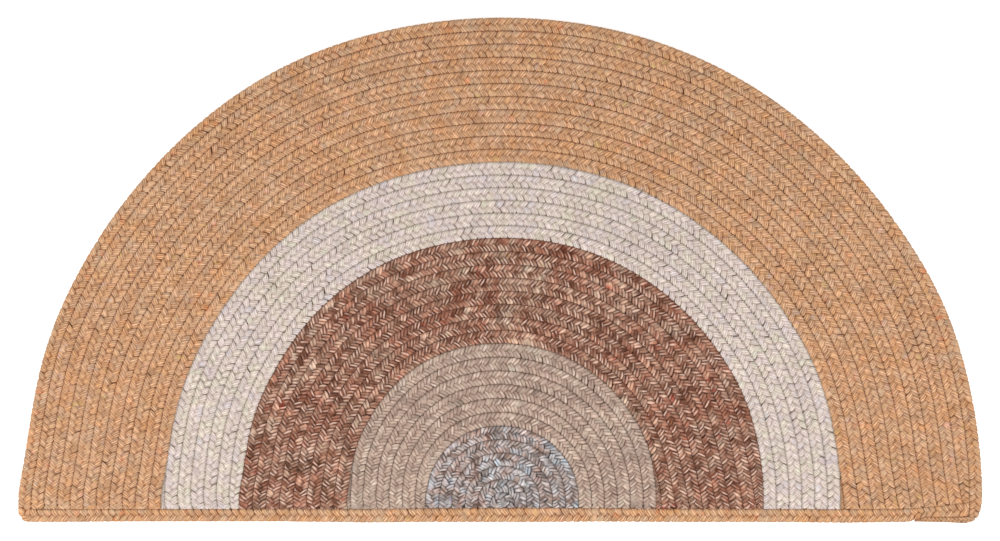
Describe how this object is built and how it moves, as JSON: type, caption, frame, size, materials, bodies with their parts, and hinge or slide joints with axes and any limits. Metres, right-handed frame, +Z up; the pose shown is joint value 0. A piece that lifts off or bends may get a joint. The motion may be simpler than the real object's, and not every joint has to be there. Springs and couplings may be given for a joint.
{
  "type": "braided rug",
  "caption": "Half-round braided rug of flat wool plaits laced in concentric half rings, with one plait finishing its straight side and the thin ends of four plaits tucked in beside the rows.",
  "frame": {"origin": "on the floor under the middle of the rug's outline", "axes": "+X along the straight side, +Y towards the round side, +Z up through the thickness"},
  "size_m": [1.218, 0.639, 0.0095],
  "materials": {
    "wheat_yarn": "matte",
    "cream_yarn": "matte",
    "rust_yarn": "matte",
    "taupe_yarn": "matte",
    "core_yarn": "matte"
  },
  "bodies": {
    "root": {"edge_braid": "wheat_yarn", "wheat_row_10": "wheat_yarn", "wheat_row_9": "wheat_yarn", "wheat_row_8": "wheat_yarn", "wheat_row_7": "wheat_yarn", "wheat_row_6": "wheat_yarn", "wheat_row_5": "wheat_yarn", "wheat_row_4": "wheat_yarn", "wheat_row_3": "wheat_yarn", "wheat_row_2": "wheat_yarn", "wheat_row_1": "wheat_yarn", "wheat_end": "wheat_yarn", "cream_row_6": "cream_yarn", "cream_row_5": "cream_yarn", "cream_row_4": "cream_yarn", "cream_row_3": "cream_yarn", "cream_row_2": "cream_yarn", "cream_row_1": "cream_yarn", "cream_end": "cream_yarn", "rust_row_8": "rust_yarn", "rust_row_7": "rust_yarn", "rust_row_6": "rust_yarn", "rust_row_5": "rust_yarn", "rust_row_4": "rust_yarn", "rust_row_3": "rust_yarn", "rust_row_2": "rust_yarn", "rust_row_1": "rust_yarn", "rust_end": "rust_yarn", "taupe_row_6": "taupe_yarn", "taupe_row_5": "taupe_yarn", "taupe_row_4": "taupe_yarn", "taupe_row_3": "taupe_yarn", "taupe_row_2": "taupe_yarn", "taupe_row_1": "taupe_yarn", "taupe_end": "taupe_yarn", "core_row_6": "core_yarn", "core_row_5": "core_yarn", "core_row_4": "core_yarn", "core_row_3": "core_yarn", "core_row_2": "core_yarn", "core_row_1": "core_yarn"}
  },
  "joints": []
}
